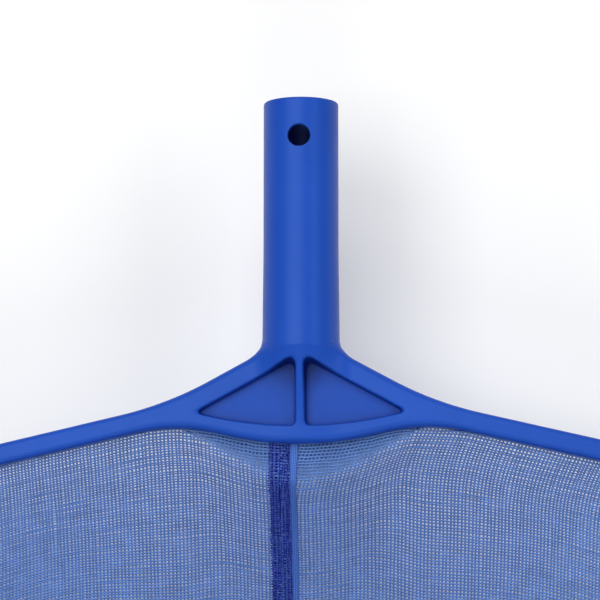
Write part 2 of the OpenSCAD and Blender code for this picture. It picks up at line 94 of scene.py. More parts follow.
# Hoop: the inner edge's right half, as (turn in degrees or 0 for a straight, radius or length)
SEGMENTS = [(14.5, 127.0), (-27.5, 66.0), (0.0, 55.0), (-70.0, 42.0), (0.0, 150.0), (-93.0, 36.0)]
FRONT_BOW = 4.0
ARM_ANGLE = math.radians(13.0)
BAR_WIDTH = 8.0
FRONT_DEPTH = 6.0
REAR_DEPTH = 5.0
FRONT_ROUND = 2.2
CHANNEL_Z = 1.4
CHANNEL_U = 7.25
PLATE_REACH = 22.0      # of the arm, which the gusset's mesh takes in
SWEEP_BITE = 0.6        # how far the hoop's mesh runs into it
SWEEP_SINK = 0.02       # how far the hoop's mesh lies inside the gusset's

# Bag
BAG_DEPTH = 66.0
RIM_ROUND = 0.035
SEAM_OFFSET = 8.0
SEAM_TURN = math.radians(2.0)
LIP_REACH = 13.0
LIP_HALF_WIDTH = 46.0
RELEASE_GAP = 0.3
MESH_EDGE_U = 1.9


# ---------------------------------------------------------------- the hoop's inner edge

def advance(pose, segment, share=1.0):
    x, y, heading = pose
    turn, size = segment
    if turn == 0:
        return (x + share * size * math.cos(heading), y + share * size * math.sin(heading), heading)
    side = math.copysign(1, turn)
    after = heading + math.radians(share * turn)
    return (x + side * size * (math.sin(after) - math.sin(heading)),
            y - side * size * (math.cos(after) - math.cos(heading)), after)


def segment_length(segment):
    turn, size = segment
    return size * (abs(math.radians(turn)) if turn else 1.0)


def beside(pose, u):
    """The point u outside the inner edge."""
    return np.array([pose[0] - u * math.sin(pose[2]), pose[1] + u * math.cos(pose[2])])


edge_poses = [(0.0, THROAT_Y, 0.0)]
for part in SEGMENTS:
    edge_poses.append(advance(edge_poses[-1], part))
front_radius = edge_poses[-1][0] / math.sin(math.radians(FRONT_BOW))
edge_segments = SEGMENTS + [(-FRONT_BOW, front_radius)]
edge_poses.append(advance(edge_poses[-1], edge_segments[-1]))
edge_length = sum(segment_length(part) for part in edge_segments)
FRONT_Y = edge_poses[-1][1]


def pose_at(distance):
    """The inner edge's pose at that distance from the middle of the throat."""
    for pose, part in zip(edge_poses, edge_segments):
        length = segment_length(part)
        if distance <= length:
            return advance(pose, part, distance / length)
        distance -= length
    return edge_poses[-1]


edge_samples = [pose_at(d) for d in np.linspace(0, edge_length, 500)]


# ---------------------------------------------------------------- the bag's surface

bag_middle_y = (THROAT_Y + FRONT_Y) / 2
bag_centre = np.array([-SEAM_OFFSET - (THROAT_Y - bag_middle_y) * math.tan(SEAM_TURN), bag_middle_y])
seam_along = np.array([math.sin(SEAM_TURN), math.cos(SEAM_TURN)])
seam_across = np.array([math.cos(SEAM_TURN), -math.sin(SEAM_TURN)])


def lip_depth(x):
    return LIP_REACH * np.clip(1 - (np.abs(x) / LIP_HALF_WIDTH) ** 1.5, 0, None)


def polar_table(points):
    """Distance from the bag's middle against angle, for a closed line given by its right half."""
    points = np.array(points)
    whole = np.concatenate([points, points[1:-1] * [-1, 1]]) - bag_centre
    angle = np.arctan2(whole[:, 1], whole[:, 0])
    order = np.argsort(angle)
    angle, reach = angle[order], np.hypot(*whole.T)[order]
    return (np.concatenate([angle - 2 * math.pi, angle, angle + 2 * math.pi]), np.tile(reach, 3))


def released(pose):
    at_back = math.cos(pose[2]) > 0 and pose[1] > bag_middle_y
    depth = float(lip_depth(pose[0])) if at_back else 0.0
    return (pose[0], pose[1] - (depth + RELEASE_GAP if depth > 0 else 0))


release_line = polar_table([released(p) for p in edge_samples])
mesh_edge_line = polar_table([beside(p, MESH_EDGE_U) for p in edge_samples])


def reach_of(x, y):
    dx, dy = x - bag_centre[0], y - bag_centre[1]
    return np.hypot(dx, dy), np.arctan2(dy, dx)


def bag_height(x, y):
    reach, angle = reach_of(x, y)
    share = np.minimum(reach / np.interp(angle, *release_line), 1)
    return -BAG_DEPTH * (1 - share ** 2) * (1 - np.exp((share - 1) / RIM_ROUND))


def inside_mesh(x, y, margin=0.0):
    reach, angle = reach_of(x, y)
    return reach < np.interp(angle, *mesh_edge_line) - margin


# ---------------------------------------------------------------- mesh making

class Builder:
    """Gathers points and faces, with a normal and a UV place for each face's corner where they are given."""

    def __init__(self):
        self.points, self.faces, self.normals, self.places, self.slots = [], [], [], [], []
        self.count = 0

    def add(self, points, faces, normals=None, places=None, slot=0):
        """faces is an (n, sides) array into points; normals is per point or per corner."""
        points, faces = np.asarray(points, float), np.asarray(faces)
        self.points.append(points)
        self.faces.append(faces + self.count)
        self.count += len(points)
        for store, values, width in ((self.normals, normals, 3), (self.places, places, 2)):
            if values is None:
                corner = np.zeros((faces.size, width))
            else:
                values = np.asarray(values, float)
                corner = values[faces.ravel()] if len(values) == len(points) else values.reshape(-1, width)
            store.append(corner)
        self.slots.append(np.full(len(faces), slot))

    def build(self, name, *materials):
        mesh = bpy.data.meshes.new(name)
        points = np.concatenate(self.points) * MM
        mesh.vertices.add(len(points))
        mesh.vertices.foreach_set("co", points.astype(np.float32).ravel())
        sides = np.concatenate([np.full(len(f), f.shape[1]) for f in self.faces])
        corners = np.concatenate([f.ravel() for f in self.faces])
        mesh.loops.add(len(corners))
        mesh.loops.foreach_set("vertex_index", corners.astype(np.int32))
        mesh.polygons.add(len(sides))
        starts = np.concatenate([[0], np.cumsum(sides)[:-1]])
        mesh.polygons.foreach_set("loop_start", starts.astype(np.int32))
        mesh.update(calc_edges=True)
        mesh.polygons.foreach_set("use_smooth", np.ones(len(sides), bool))
        mesh.polygons.foreach_set("material_index", np.concatenate(self.slots).astype(np.int32))
        for material in materials:
            mesh.materials.append(material)
        places = np.concatenate(self.places)
        if places.any():
            layer = mesh.uv_layers.new(name="along")
            layer.data.foreach_set("uv", places.astype(np.float32).ravel())
        normals = np.concatenate(self.normals)
        if normals.any():
            mesh.normals_split_custom_set(normals.tolist())
        obj = bpy.data.objects.new(name, mesh)
        bpy.context.scene.collection.objects.link(obj)
        return obj


def smooth_min(a, b, k):
    h = np.clip(1 - np.abs(a - b) / k, 0, None)
    return np.minimum(a, b) - h * h * k / 4


def smooth_max(a, b, k):
    return -smooth_min(-a, -b, k)


def surface_net(distance, xs, ys, zs):
    """Points, quads and normals of the surface where distance is 0, on a grid with steps of any size."""
    grid = distance(*np.meshgrid(xs, ys, zs, indexing="ij"))
    axes = (xs, ys, zs)
    inside = grid < 0
    shape = [n - 1 for n in grid.shape]

    def corner(array, offset):
        return array[tuple(slice(o, o + n) for o, n in zip(offset, shape))]

    offsets = [(i, j, k) for i in (0, 1) for j in (0, 1) for k in (0, 1)]
    count = sum(corner(inside, o).astype(np.int8) for o in offsets)
    active = (count > 0) & (count < 8)
    ids = np.full(shape, -1, np.int64)
    ids[active] = np.arange(active.sum())
    cells = np.argwhere(active)
    low = np.stack([axes[a][cells[:, a]] for a in range(3)], 1)
    size = np.stack([np.diff(axes[a])[cells[:, a]] for a in range(3)], 1)
    total, hits = np.zeros((len(cells), 3)), np.zeros(len(cells))
    for axis in range(3):
        for o in offsets:
            if o[axis]:
                continue
            end = tuple(1 if a == axis else v for a, v in enumerate(o))
            d0, d1 = corner(grid, o)[active], corner(grid, end)[active]
            crossed = (d0 < 0) != (d1 < 0)
            t = np.where(crossed, d0 / np.where(crossed, d0 - d1, 1), 0)
            place = np.tile(np.array(o, float), (len(cells), 1))
            place[:, axis] = t
            total += np.where(crossed[:, None], place, 0)
            hits += crossed
    points = low + size * total / hits[:, None]

    quads = []
    for axis in range(3):
        b, c = (axis + 1) % 3, (axis + 2) % 3
        first = [slice(None)] * 3
        second = [slice(None)] * 3
        first[axis], second[axis] = slice(0, -1), slice(1, None)
        crossed = inside[tuple(first)] != inside[tuple(second)]
        for a in (b, c):
            edge = [slice(None)] * 3
            edge[a] = slice(1, -1)
            crossed = crossed[tuple(edge)]
        spots = np.argwhere(crossed)
        spots[:, b] += 1
        spots[:, c] += 1
        ring = []
        for db, dc in ((1, 1), (0, 1), (0, 0), (1, 0)):
            cell = spots.copy()
            cell[:, b] -= db
            cell[:, c] -= dc
            ring.append(ids[tuple(cell.T)])
        ring = np.stack(ring, 1)
        starts_inside = inside[tuple(spots.T)]
        ring[~starts_inside] = ring[~starts_inside][:, ::-1]
        quads.append(ring)
    quads = np.concatenate(quads)
    quads = quads[(quads >= 0).all(1)]

    def gradient(p, step=0.02):
        result = np.empty_like(p)
        for a in range(3):
            up, down = p.copy(), p.copy()
            up[:, a] += step
            down[:, a] -= step
            result[:, a] = (distance(*up.T) - distance(*down.T)) / (2 * step)
        return result

    limit = 0.4 * size
    for _ in range(3):
        slope = gradient(points)
        move = -distance(*points.T)[:, None] * slope / np.maximum((slope ** 2).sum(1, keepdims=True), 0.25)
        points += np.clip(move, -limit, limit)
    slope = gradient(points)
    return points, quads, slope / np.maximum(np.linalg.norm(slope, axis=1, keepdims=True), 1e-9)


def steps(*runs):
    """Grid positions from runs of (start, end, largest step)."""
    places = [np.array([runs[0][0]])]
    for start, end, step in runs:
        count = max(1, math.ceil((end - start) / step - 1e-6))
        places.append(np.linspace(start, end, count + 1)[1:])
    return np.concatenate(places)


# ---------------------------------------------------------------- the front moulding

arm_pose = edge_poses[2]
arm_outer = beside(arm_pose, BAR_WIDTH)
meet_x = ((CORNER_Y + BASE_R * math.tan(GUSSET_ANGLE) - arm_outer[1] - arm_outer[0] * math.tan(ARM_ANGLE))
          / (math.tan(GUSSET_ANGLE) - math.tan(ARM_ANGLE)))
meet_y = CORNER_Y - (meet_x - BASE_R) * math.tan(GUSSET_ANGLE)
blend_reach = GUSSET_BLEND * math.tan((GUSSET_ANGLE - ARM_ANGLE) / 2)
blend_start = np.array([meet_x - blend_reach * math.cos(GUSSET_ANGLE), meet_y + blend_reach * math.sin(GUSSET_ANGLE)])
blend_centre = blend_start + GUSSET_BLEND * np.array([math.sin(GUSSET_ANGLE), math.cos(GUSSET_ANGLE)])


def edge_distance(x, y):
    """How far a point near the gusset lies outside the hoop's inner edge."""
    x = np.abs(x)
    bulge, shoulder = SEGMENTS[0][1], SEGMENTS[1][1]
    centre_0 = beside(edge_poses[0], bulge)
    centre_1 = beside(edge_poses[1], -shoulder)
    turn_0 = np.arctan2(x - centre_0[0], centre_0[1] - y)
    on_bulge = bulge - np.hypot(x - centre_0[0], y - centre_0[1])
    turn_1 = np.arctan2(x - centre_1[0], y - centre_1[1])
    on_shoulder = np.hypot(x - centre_1[0], y - centre_1[1]) - shoulder
    px, py, heading = edge_poses[2]
    on_arm = -(x - px) * math.sin(heading) + (y - py) * math.cos(heading)
    return np.where(turn_0 < edge_poses[1][2], on_bulge, np.where(turn_1 < ARM_ANGLE, on_shoulder, on_arm))


def upper_distance(x, y, u):
    """How far a point lies beyond the gusset's upper edge, its blend or the arm's outer edge."""
    x = np.abs(x)
    on_line = (x - BASE_R) * math.sin(GUSSET_ANGLE) + (y - CORNER_Y) * math.cos(GUSSET_ANGLE)
    turn = np.arctan2(blend_centre[0] - x, blend_centre[1] - y)
    on_blend = GUSSET_BLEND - np.hypot(x - blend_centre[0], y - blend_centre[1])
    return np.where(turn > GUSSET_ANGLE, on_line, np.where(turn > ARM_ANGLE, on_blend, u - BAR_WIDTH))


def pocket_distance(x, y):
    """How far a point lies outside the nearer pocket's outline, at the moulding's face."""
    x = np.abs(x)
    rib = HALF_RIB - x
    upper = ((x - BASE_R) * math.sin(GUSSET_ANGLE) + (y - CORNER_Y) * math.cos(GUSSET_ANGLE)) + UPPER_WEB
    base = np.hypot(x, y - (THROAT_Y + LOWER_WEB + POCKET_BASE_R)) - POCKET_BASE_R
    return smooth_max(smooth_max(upper, rib, POCKET_APEX), base, POCKET_CORNER)


def swept_down(face, y):
    """Depth of the handle's underside: an S from the plate's face that ends as a straight slope."""
    share = (y - UNDER_LOW_Y) / UNDER_SWEEP
    bent = (1 - np.cos(math.pi * np.clip(share, 0, UNDER_STRAIGHT))) / 2
    slope = math.pi / 2 * math.sin(math.pi * UNDER_STRAIGHT)
    return face + (BASE_R - face) * (bent + slope * np.clip(share - UNDER_STRAIGHT, 0, None))


def handle_distance(x, y, z):
    radius = np.interp(y, [UNDER_LOW_Y, SPIGOT_Y], [BASE_R, SPIGOT_R])
    under = (-z - swept_down(REAR_DEPTH, y)) * UNDER_STEEPNESS
    tube = smooth_max(np.hypot(x, z) - radius, under, UNDER_ROUND)
    tube = np.maximum(tube, np.where(z > 0, FOOT_Y, UNDER_LOW_Y) - y)
    share = np.clip((FOOT_Y - y) / RAMP_LENGTH, 0, RAMP_BEYOND)
    ramp = np.hypot(x, z + RAMP_DROP * share) - (BASE_R - 0.05 + RAMP_FLARE * share)
    ends = np.maximum(y - FOOT_Y - RAMP_OVERLAP, FOOT_Y - RAMP_BEYOND * RAMP_LENGTH - y)
    ramp = np.maximum(np.maximum(ramp * RAMP_SCALE, -z), ends)
    return smooth_max(np.minimum(tube, ramp), y - TIP_Y, RIM_EDGE_ROUND)


def front_distance(x, y, z):
    u = edge_distance(x, y)
    beyond = upper_distance(x, y, u)
    plan = np.maximum(-u, beyond)
    rounding = FRONT_ROUND + 0.5 * np.clip((70 - np.abs(x)) / 25, 0, 1)
    a, b = plan + rounding, z - (FRONT_DEPTH - rounding)
    plate = np.hypot(np.clip(a, 0, None), np.clip(b, 0, None)) + np.minimum(np.maximum(a, b), 0) - rounding
    for mark_x, mark_y in SINK_MARKS:
        away = np.hypot(x - mark_x, y - mark_y)
        plate = plate + SINK_DEPTH * np.exp(-(away / SINK_SPREAD) ** 2)
    handle = handle_distance(x, y, z)
    body = np.maximum(smooth_min(plate, np.maximum(handle, FOOT_SETBACK - u), FOOT_BLEND), -z)
    pocket = pocket_distance(x, y) * math.cos(POCKET_DRAFT) + (FRONT_DEPTH - z) * math.sin(POCKET_DRAFT)
    pocket = smooth_max(pocket, POCKET_FLOOR - z, POCKET_FILLET)
    body = smooth_max(body, -pocket, POCKET_EDGE)
    body = np.minimum(body, np.maximum(handle, z))
    channel = np.maximum(u - CHANNEL_U, z - CHANNEL_Z)
    body = np.maximum(body, -channel)
    bore = smooth_max(np.hypot(x, z) - BORE_R, BORE_END_Y - y, 1.0)
    mouth = np.hypot(x, z) - (BORE_R + BORE_MOUTH_CHAMFER - (TIP_Y - y))
    body = smooth_max(body, -np.minimum(bore, mouth), 0.5)
    hole = np.maximum(np.hypot(x, y) - CLIP_HOLE_R, -z)
    body = smooth_max(body, -hole, 0.7)
    start_x, start_y, heading = edge_poses[2]
    along_arm = (np.abs(x) - start_x) * math.cos(heading) + (y - start_y) * math.sin(heading)
    return np.maximum(body, along_arm - PLATE_REACH)


def hoop_stations(start, step=2.5):
    """Places and outward directions along the inner edge, from start on the right arm round to the left arm."""
    distances, travelled = [start], 0.0
    for part in edge_segments:
        length = segment_length(part)
        count = max(1, math.ceil(length / (step if part[0] else 12)))
        distances += [travelled + length * k / count for k in range(1, count + 1)
                      if travelled + length * k / count > start + 0.5]
        travelled += length
    right = [pose_at(d) for d in distances]
    places = np.array([[p[0], p[1]] for p in right])
    outward = np.array([[-math.sin(p[2]), math.cos(p[2])] for p in right])
    mirror = np.array([-1, 1])
    return (np.concatenate([places, places[:-1][::-1] * mirror]),
            np.concatenate([outward, outward[:-1][::-1] * mirror]))


def sweep(builder, section, stations, section_normals=None, closed=False, slot=0):
    """Sweeps a closed section of (u, z) round the stations. It runs up the inside, outward and down."""
    section = np.asarray(section, float)
    places, outward = stations
    n, m = len(places), len(section)
    points = np.empty((n, m, 3))
    points[..., :2] = places[:, None] + section[None, :, :1] * outward[:, None]
    points[..., 2] = section[:, 1]
    i = np.arange(n if closed else n - 1)[:, None]
    k = np.arange(m)[None, :]
    after, beside_it = (i + 1) % n, (k + 1) % m
    quads = np.stack([i * m + k, after * m + k, after * m + beside_it, i * m + beside_it], -1).reshape(-1, 4)
    corner_normals = None
    if section_normals is not None:
        start, end = (np.asarray(v, float) for v in section_normals)
        def turned(values, at):
            flat = values[None, :, :1] * outward[at[:, 0]][:, None]
            return np.concatenate([flat, np.broadcast_to(values[None, :, 1:], flat.shape[:2] + (1,))], -1)
        corner_normals = np.stack([turned(start, i), turned(start, after), turned(end, after), turned(end, i)], 2)
        corner_normals = corner_normals.reshape(-1, 3)
    builder.add(points.reshape(-1, 3), quads, corner_normals, slot=slot)
    if not closed:
        flat = [Vector((u, z, 0)) for u, z in section]
        cap = np.array(tessellate_polygon([flat]))
        for index, flip in ((0, True), (n - 1, False)):
            ring = points[index]
            along = np.array([outward[index][1], -outward[index][0], 0]) * (1 if index else -1)
            faces = cap if _winding(section, cap[0]) == flip else cap[:, ::-1]
            builder.add(ring, faces, np.tile(along, (len(ring), 1)), slot=slot)


def _winding(section, triangle):
    a, b, c = section[triangle]
    return (b[0] - a[0]) * (c[1] - a[1]) - (b[1] - a[1]) * (c[0] - a[0]) < 0


def bar_section(depth, rounding, corner_steps=7):
    """A moulding's section on the hoop, with the normals at each edge's two ends."""
    points, starts, ends = [(0.0, CHANNEL_Z)], [], []

    def edge(normal_0, normal_1):
        starts.append(normal_0)
        ends.append(normal_1)

    edge((-1, 0), (-1, 0))
    for centre, first in ((rounding, 180), (BAR_WIDTH - rounding, 90)):
        for k in range(corner_steps + 1):
            a = math.radians(first - 90 * k / corner_steps)
            points.append((centre + rounding * math.cos(a), depth - rounding + rounding * math.sin(a)))
            b = math.radians(first - 90 * min(k + 1, corner_steps) / corner_steps)
            edge((math.cos(a), math.sin(a)), (math.cos(b), math.sin(b)))
    points += [(BAR_WIDTH, 0.0), (CHANNEL_U, 0.0), (CHANNEL_U, CHANNEL_Z)]
    edge((0, -1), (0, -1))
    edge((-1, 0), (-1, 0))
    edge((0, -1), (0, -1))
    return np.array(points), (np.array(starts, float), np.array(ends, float))


def painted_pocket_shade(points):
    """How much painted shade a point in a pocket gets, from 0 to 1: more near its walls, and most where it is deepest.
    """
    x, y, z = points.T
    share = np.clip((FOOT_Y - y) / RAMP_LENGTH, 0, 1)
    crown = np.sqrt(np.clip((BASE_R + RAMP_FLARE * share) ** 2 - x ** 2, 0, None)) - RAMP_DROP * share
    sunk = np.clip((np.maximum(crown, FRONT_DEPTH) - 1.0 - z) / 2.5, 0, 1)
    wall = -pocket_distance(x, y)
    by_wall = np.exp(-(np.clip(wall, 0, None) / 1.3) ** 2)
    deepest = np.exp(-(np.hypot(np.abs(x) - HALF_RIB - 2, y - FOOT_Y + 8) / 6) ** 2)
    # Painted shade: darkening where the pocket's walls and depth would shade it.
    painted_dimming = np.clip(0.20 + 0.55 * by_wall + 0.60 * deepest, 0, 1) * sunk
    return np.where((wall > -1.2) & (y < FOOT_Y), painted_dimming, 0)


def front_moulding(material):
    xs = steps((-88, -18, 0.55), (-18, 18, 0.45), (18, 88, 0.55))
    ys = steps((-130, -70, 0.5), (-70, -7, 4.0), (-7, 7, 0.45), (7, 13, 1.5), (13, 15.6, 0.35))
    zs = steps((-15.6, -0.8, 0.8), (-0.8, 6.8, 0.45), (6.8, 15.6, 0.8))
    points, quads, normals = surface_net(front_distance, xs, ys, zs)
    builder = Builder()
    # Painted shade for the pockets, handed to the material in the UV map's first place.
    depth = painted_pocket_shade(points)
    builder.add(points, quads, normals, places=np.stack([depth, 0.01 + 0 * depth], -1))
    section, section_normals = bar_section(FRONT_DEPTH, FRONT_ROUND)
    sunk = section - SWEEP_SINK * section_normals[0]
    start = segment_length(SEGMENTS[0]) + segment_length(SEGMENTS[1]) + PLATE_REACH - SWEEP_BITE
    sweep(builder, sunk, hoop_stations(start), section_normals)
    return builder.build("front_moulding", material)


# ---------------------------------------------------------------- materials

class Shader:
    """A material's node tree, with short calls for the nodes used here."""

    def __init__(self, name):
        self.material = bpy.data.materials.new(name)
        self.material.use_nodes = True
        self.tree = self.material.node_tree
        self.tree.nodes.clear()
        self.output = self.tree.nodes.new("ShaderNodeOutputMaterial")
        self.place = self.tree.nodes.new("ShaderNodeTexCoord").outputs["Object"]

    def node(self, kind, inputs=(), **settings):
        made = self.tree.nodes.new("ShaderNode" + kind)
        for key, value in settings.items():
            setattr(made, key, value)
        for key, value in dict(inputs).items():
            if isinstance(value, bpy.types.NodeSocket):
                self.tree.links.new(value, made.inputs[key])
            else:
                made.inputs[key].default_value = value
        return made

    def noise(self, scale, detail=3.0, roughness=0.5, vector=None):
        return self.node("TexNoise", {"Vector": vector or self.place, "Scale": scale, "Detail": detail,
                                      "Roughness": roughness}).outputs["Fac"]

    def ranged(self, value, low, high, from_low=0.3, from_high=0.7):
        return self.node("MapRange", {"Value": value, "From Min": from_low, "From Max": from_high,
                                      "To Min": low, "To Max": high}).outputs["Result"]

    def between(self, factor, a, b):
        return self.node("Mix", {0: factor, 6: (*a, 1) if len(a) == 3 else a, 7: (*b, 1) if len(b) == 3 else b},
                         data_type="RGBA").outputs[2]

    def bump(self, height, strength, distance, normal=None):
        inputs = {"Height": height, "Strength": strength, "Distance": distance}
        if normal is not None:
            inputs["Normal"] = normal
        return self.node("Bump", inputs).outputs["Normal"]

    def principled(self, **inputs):
        return self.node("BsdfPrincipled", {k.replace("_", " "): v for k, v in inputs.items()}).outputs["BSDF"]

    def finish(self, surface):
        self.tree.links.new(surface, self.output.inputs["Surface"])
        return self.material


def scaled(colour, factor):
    return tuple(c * factor for c in colour)


def plastic(name, colour):
    s = Shader(name)
    tint = s.between(s.ranged(s.noise(26, 2.0), 0, 1), scaled(colour, 0.95), scaled(colour, 1.05))
    rough = s.ranged(s.noise(240, 4.0), 0.33, 0.40)
    peel = s.bump(s.noise(620, 3.0), 0.10, 0.0001)
    flow = s.bump(s.noise(45, 1.0), 0.10, 0.0006, peel)
    return s, tint, dict(Roughness=rough, Specular_IOR_Level=0.20,
                         Specular_Tint=(0.55, 0.80, 1.0, 1), Normal=flow)


def front_material(name, colour):
    """The moulding's plastic, with painted shade inside the bore and in the pockets, darker than the lamps make them.
    """
    s, tint, finish = plastic(name, colour)
    place = s.node("SeparateXYZ", {0: s.place}).outputs
    across = s.node("CombineXYZ", {0: place["X"], 1: place["Z"]}).outputs[0]
    from_axis = s.node("VectorMath", {0: across}, operation="LENGTH").outputs["Value"]
    # Painted shade inside the bore: near-black on its walls, none beyond its closed end.
    painted_dimming = s.ranged(from_axis, 0.12, 1.0, (BORE_R + 0.15) * MM, (BORE_R + 0.9) * MM)
    near = s.ranged(place["Y"], 1.0, 0.0, (BORE_END_Y - 2) * MM, (BORE_END_Y - 1) * MM)
    painted_dimming = s.node("Math", {0: painted_dimming, 1: near}, operation="MAXIMUM").outputs[0]
    # Painted shade in the pockets, read from the UV map.
    pocket_shade_amount = s.node("SeparateXYZ", {0: s.node("UVMap", uv_map="along").outputs[0]}).outputs["X"]
    painted_pocket_brightness = s.ranged(pocket_shade_amount, 1.0, 0.42, 0.0, 1.0)
    painted_dimming = s.node("Math", {0: painted_dimming, 1: painted_pocket_brightness}, operation="MULTIPLY").outputs[0]
    # The painted shade darkens red and green more than blue.
    powers = [s.node("Math", {0: painted_dimming, 1: power}, operation="POWER").outputs[0] for power in (2.2, 1.7)]
    painted_shade_tint = s.node("CombineXYZ", {0: powers[0], 1: powers[1], 2: painted_dimming}).outputs[0]
    tint = s.node("Mix", {0: 1.0, 6: tint, 7: painted_shade_tint}, data_type="RGBA", blend_type="MULTIPLY").outputs[2]
    return s.finish(s.principled(Base_Color=tint, **finish))


def rear_material(name, colour, edge):
    """The same plastic, faded to see-through towards the edge of the throat's lip. This is for the picture alone:
    the lip is one thickness and opaque."""
    s, tint, finish = plastic(name, colour)
    place = s.node("SeparateXYZ", {0: s.place}).outputs

    def math_node(operation, a, b):
        return s.node("Math", {0: a, 1: b}, operation=operation).outputs[0]

    far = math_node("ABSOLUTE", place["X"], 0.0)
    edge_y = math_node("ADD", math_node("MULTIPLY", math_node("POWER", far, 2.0), 0.5 / (SEGMENTS[0][1] * MM)),
                       THROAT_Y * MM)
    shape = math_node("POWER", math_node("DIVIDE", far, LIP_HALF_WIDTH * MM), 1.5)
    depth = math_node("MAXIMUM", math_node("MULTIPLY", math_node("SUBTRACT", 1.0, shape), LIP_REACH * MM), 0.0005)
    share = math_node("DIVIDE", math_node("SUBTRACT", edge_y, place["Y"]), depth)
    thin = s.ranged(share, 0.0, 0.9, 0.10, 0.85)
    on_lip = s.ranged(place["Y"], 0.0, 1.0, (THROAT_Y - LIP_REACH - 1) * MM, (THROAT_Y - LIP_REACH) * MM)
    on_lip = math_node("MULTIPLY", on_lip, s.ranged(far, 1.0, 0.0, 0.038, LIP_HALF_WIDTH * MM))
    thin = math_node("MULTIPLY", thin, on_lip)
    solid = s.principled(Base_Color=tint, **finish)
    through = s.node("BsdfTransparent", {"Color": (*edge, 1)}).outputs[0]
    return s.finish(s.node("MixShader", {0: thin, 1: solid, 2: through}).outputs[0])


def steel(name, colour):
    s = Shader(name)
    tint = s.between(s.ranged(s.noise(900, 2.0), 0, 1), scaled(colour, 0.9), colour)
    rough = s.ranged(s.noise(1500, 3.0), 0.24, 0.36)
    return s.finish(s.principled(Base_Color=tint, Metallic=1.0, Roughness=rough,
                                 Normal=s.bump(s.noise(2600, 2.0), 0.15, 0.00005)))


def thread_material(name, colour, through=0.25):
    s = Shader(name)
    tint = s.between(s.ranged(s.noise(160, 3.0), 0, 1), scaled(colour, 0.88), scaled(colour, 1.12))
    twist = s.bump(s.noise(5200, 2.0), 0.25, 0.00006)
    rough = s.ranged(s.noise(400, 2.0), 0.42, 0.58)
    body = s.principled(Base_Color=tint, Roughness=rough, Normal=twist, Specular_IOR_Level=0.2)
    passed = s.node("BsdfTranslucent", {"Color": tint}).outputs[0]
    return s.finish(s.node("MixShader", {0: through, 1: body, 2: passed}).outputs[0])


def tape_material(name, colour, light):
    """A narrow woven tape: ribs across it and picks along it, from its own places in millimetres."""
    s = Shader(name)
    place = s.node("UVMap", uv_map="along").outputs[0]
    ribs = s.node("TexWave", {"Vector": place, "Scale": 0.42, "Distortion": 1.2, "Detail": 1.0},
                  wave_type="BANDS", bands_direction="X").outputs["Fac"]
    picks = s.node("TexWave", {"Vector": place, "Scale": 0.50, "Distortion": 1.0, "Detail": 1.0},
                   wave_type="BANDS", bands_direction="Y").outputs["Fac"]
    weave = s.node("Math", {0: ribs, 1: picks}, operation="MULTIPLY").outputs[0]
    tint = s.between(s.ranged(weave, 0, 1, 0.1, 0.8), colour, light)
    rough = s.ranged(s.noise(300, 2.0), 0.6, 0.75)
    return s.finish(s.principled(Base_Color=tint, Roughness=rough, Specular_IOR_Level=0.2,
                                 Normal=s.bump(weave, 0.6, 0.00015)))


# ---------------------------------------------------------------- threads

def add_tubes(builder, lines, normals, radius, slot=0, sides=4, height=None):
    """A closed thread along each line of points, with the surface's normal at each point.

    height is its half height along that normal where it is pressed flat.
    """
    height = height or radius
    ring_angles = np.arange(sides) * 2 * math.pi / sides + math.pi / 2
    for line, normal in zip(lines, normals):
        n = len(line)
        if n < 2:
            continue
        along = np.gradient(line, axis=0)
        along /= np.linalg.norm(along, axis=1, keepdims=True) + 1e-12
        side = np.cross(along, normal)
        side /= np.linalg.norm(side, axis=1, keepdims=True) + 1e-12
        up = np.cross(side, along)
        wide, tall = np.cos(ring_angles)[None, :, None], np.sin(ring_angles)[None, :, None]
        points = line[:, None] + radius * wide * side[:, None] + height * tall * up[:, None]
        ring = wide * side[:, None] + radius / height * tall * up[:, None]
        ring /= np.linalg.norm(ring, axis=2, keepdims=True)
        i, k = np.arange(n - 1)[:, None], np.arange(sides)[None, :]
        nxt = (k + 1) % sides
        quads = np.stack([i * sides + k, (i + 1) * sides + k, (i + 1) * sides + nxt, i * sides + nxt], -1)
        flat_ring = ring.reshape(-1, 3)
        builder.add(points.reshape(-1, 3), quads.reshape(-1, 4), flat_ring, slot=slot)
        end = np.arange(sides)
        caps = np.array([end, end[::-1] + (n - 1) * sides])
        builder.faces.append(caps + builder.count - n * sides)
        builder.normals.append(np.repeat(np.array([-along[0], along[-1]]), sides, axis=0))
        builder.places.append(np.zeros((2 * sides, 2)))
        builder.slots.append(np.full(2, slot))


def bag_normal(x, y, step=0.3):
    slope_x = (bag_height(x + step, y) - bag_height(x - step, y)) / (2 * step)
    slope_y = (bag_height(x, y + step) - bag_height(x, y - step)) / (2 * step)
    normal = np.stack([-slope_x, -slope_y, np.ones_like(slope_x)], -1)
    return normal / np.linalg.norm(normal, axis=-1, keepdims=True)


def on_seam_axes(along, across):
    """x and y of a place given by its distances along the seam, towards the throat, and across it, to the right."""
    return (bag_centre[0] + along * seam_along[0] + across * seam_across[0],
            bag_centre[1] + along * seam_along[1] + across * seam_across[1])


# The grain of the mesh. Columns run along the seam, evenly by length over the bag's own surface.
# Rows start from the throat's rim and follow its shape, which they lose little by little with depth.
# The threads are flat and wider than real yarn.
PITCH = 1.5
ROW_PITCH = 1.25
THREAD_R = 0.39
THREAD_HEIGHT = 0.14
THREAD_OFFSET = 0.10    # of the rows above the bag's surface, and of the columns below it
WANDER = 0.10
FINE = 0.25
SPARE_COLUMNS = 6       # that start left of the seam, since the right panel's columns lean to the right
along_grid = np.arange(-128, 128, FINE)


def column_run(across):
    """Distances along the seam from the back rim to the front rim at that distance across, and the length so far."""
    x, y = on_seam_axes(along_grid, np.full_like(along_grid, across))
    kept = np.flatnonzero(inside_mesh(x, y))
    if len(kept) < 8:
        return None
    kept = kept[::-1]
    along, z = along_grid[kept], bag_height(x[kept], y[kept])
    length = np.concatenate([[0], np.cumsum(np.hypot(np.diff(along), np.diff(z)))])
    return along, length


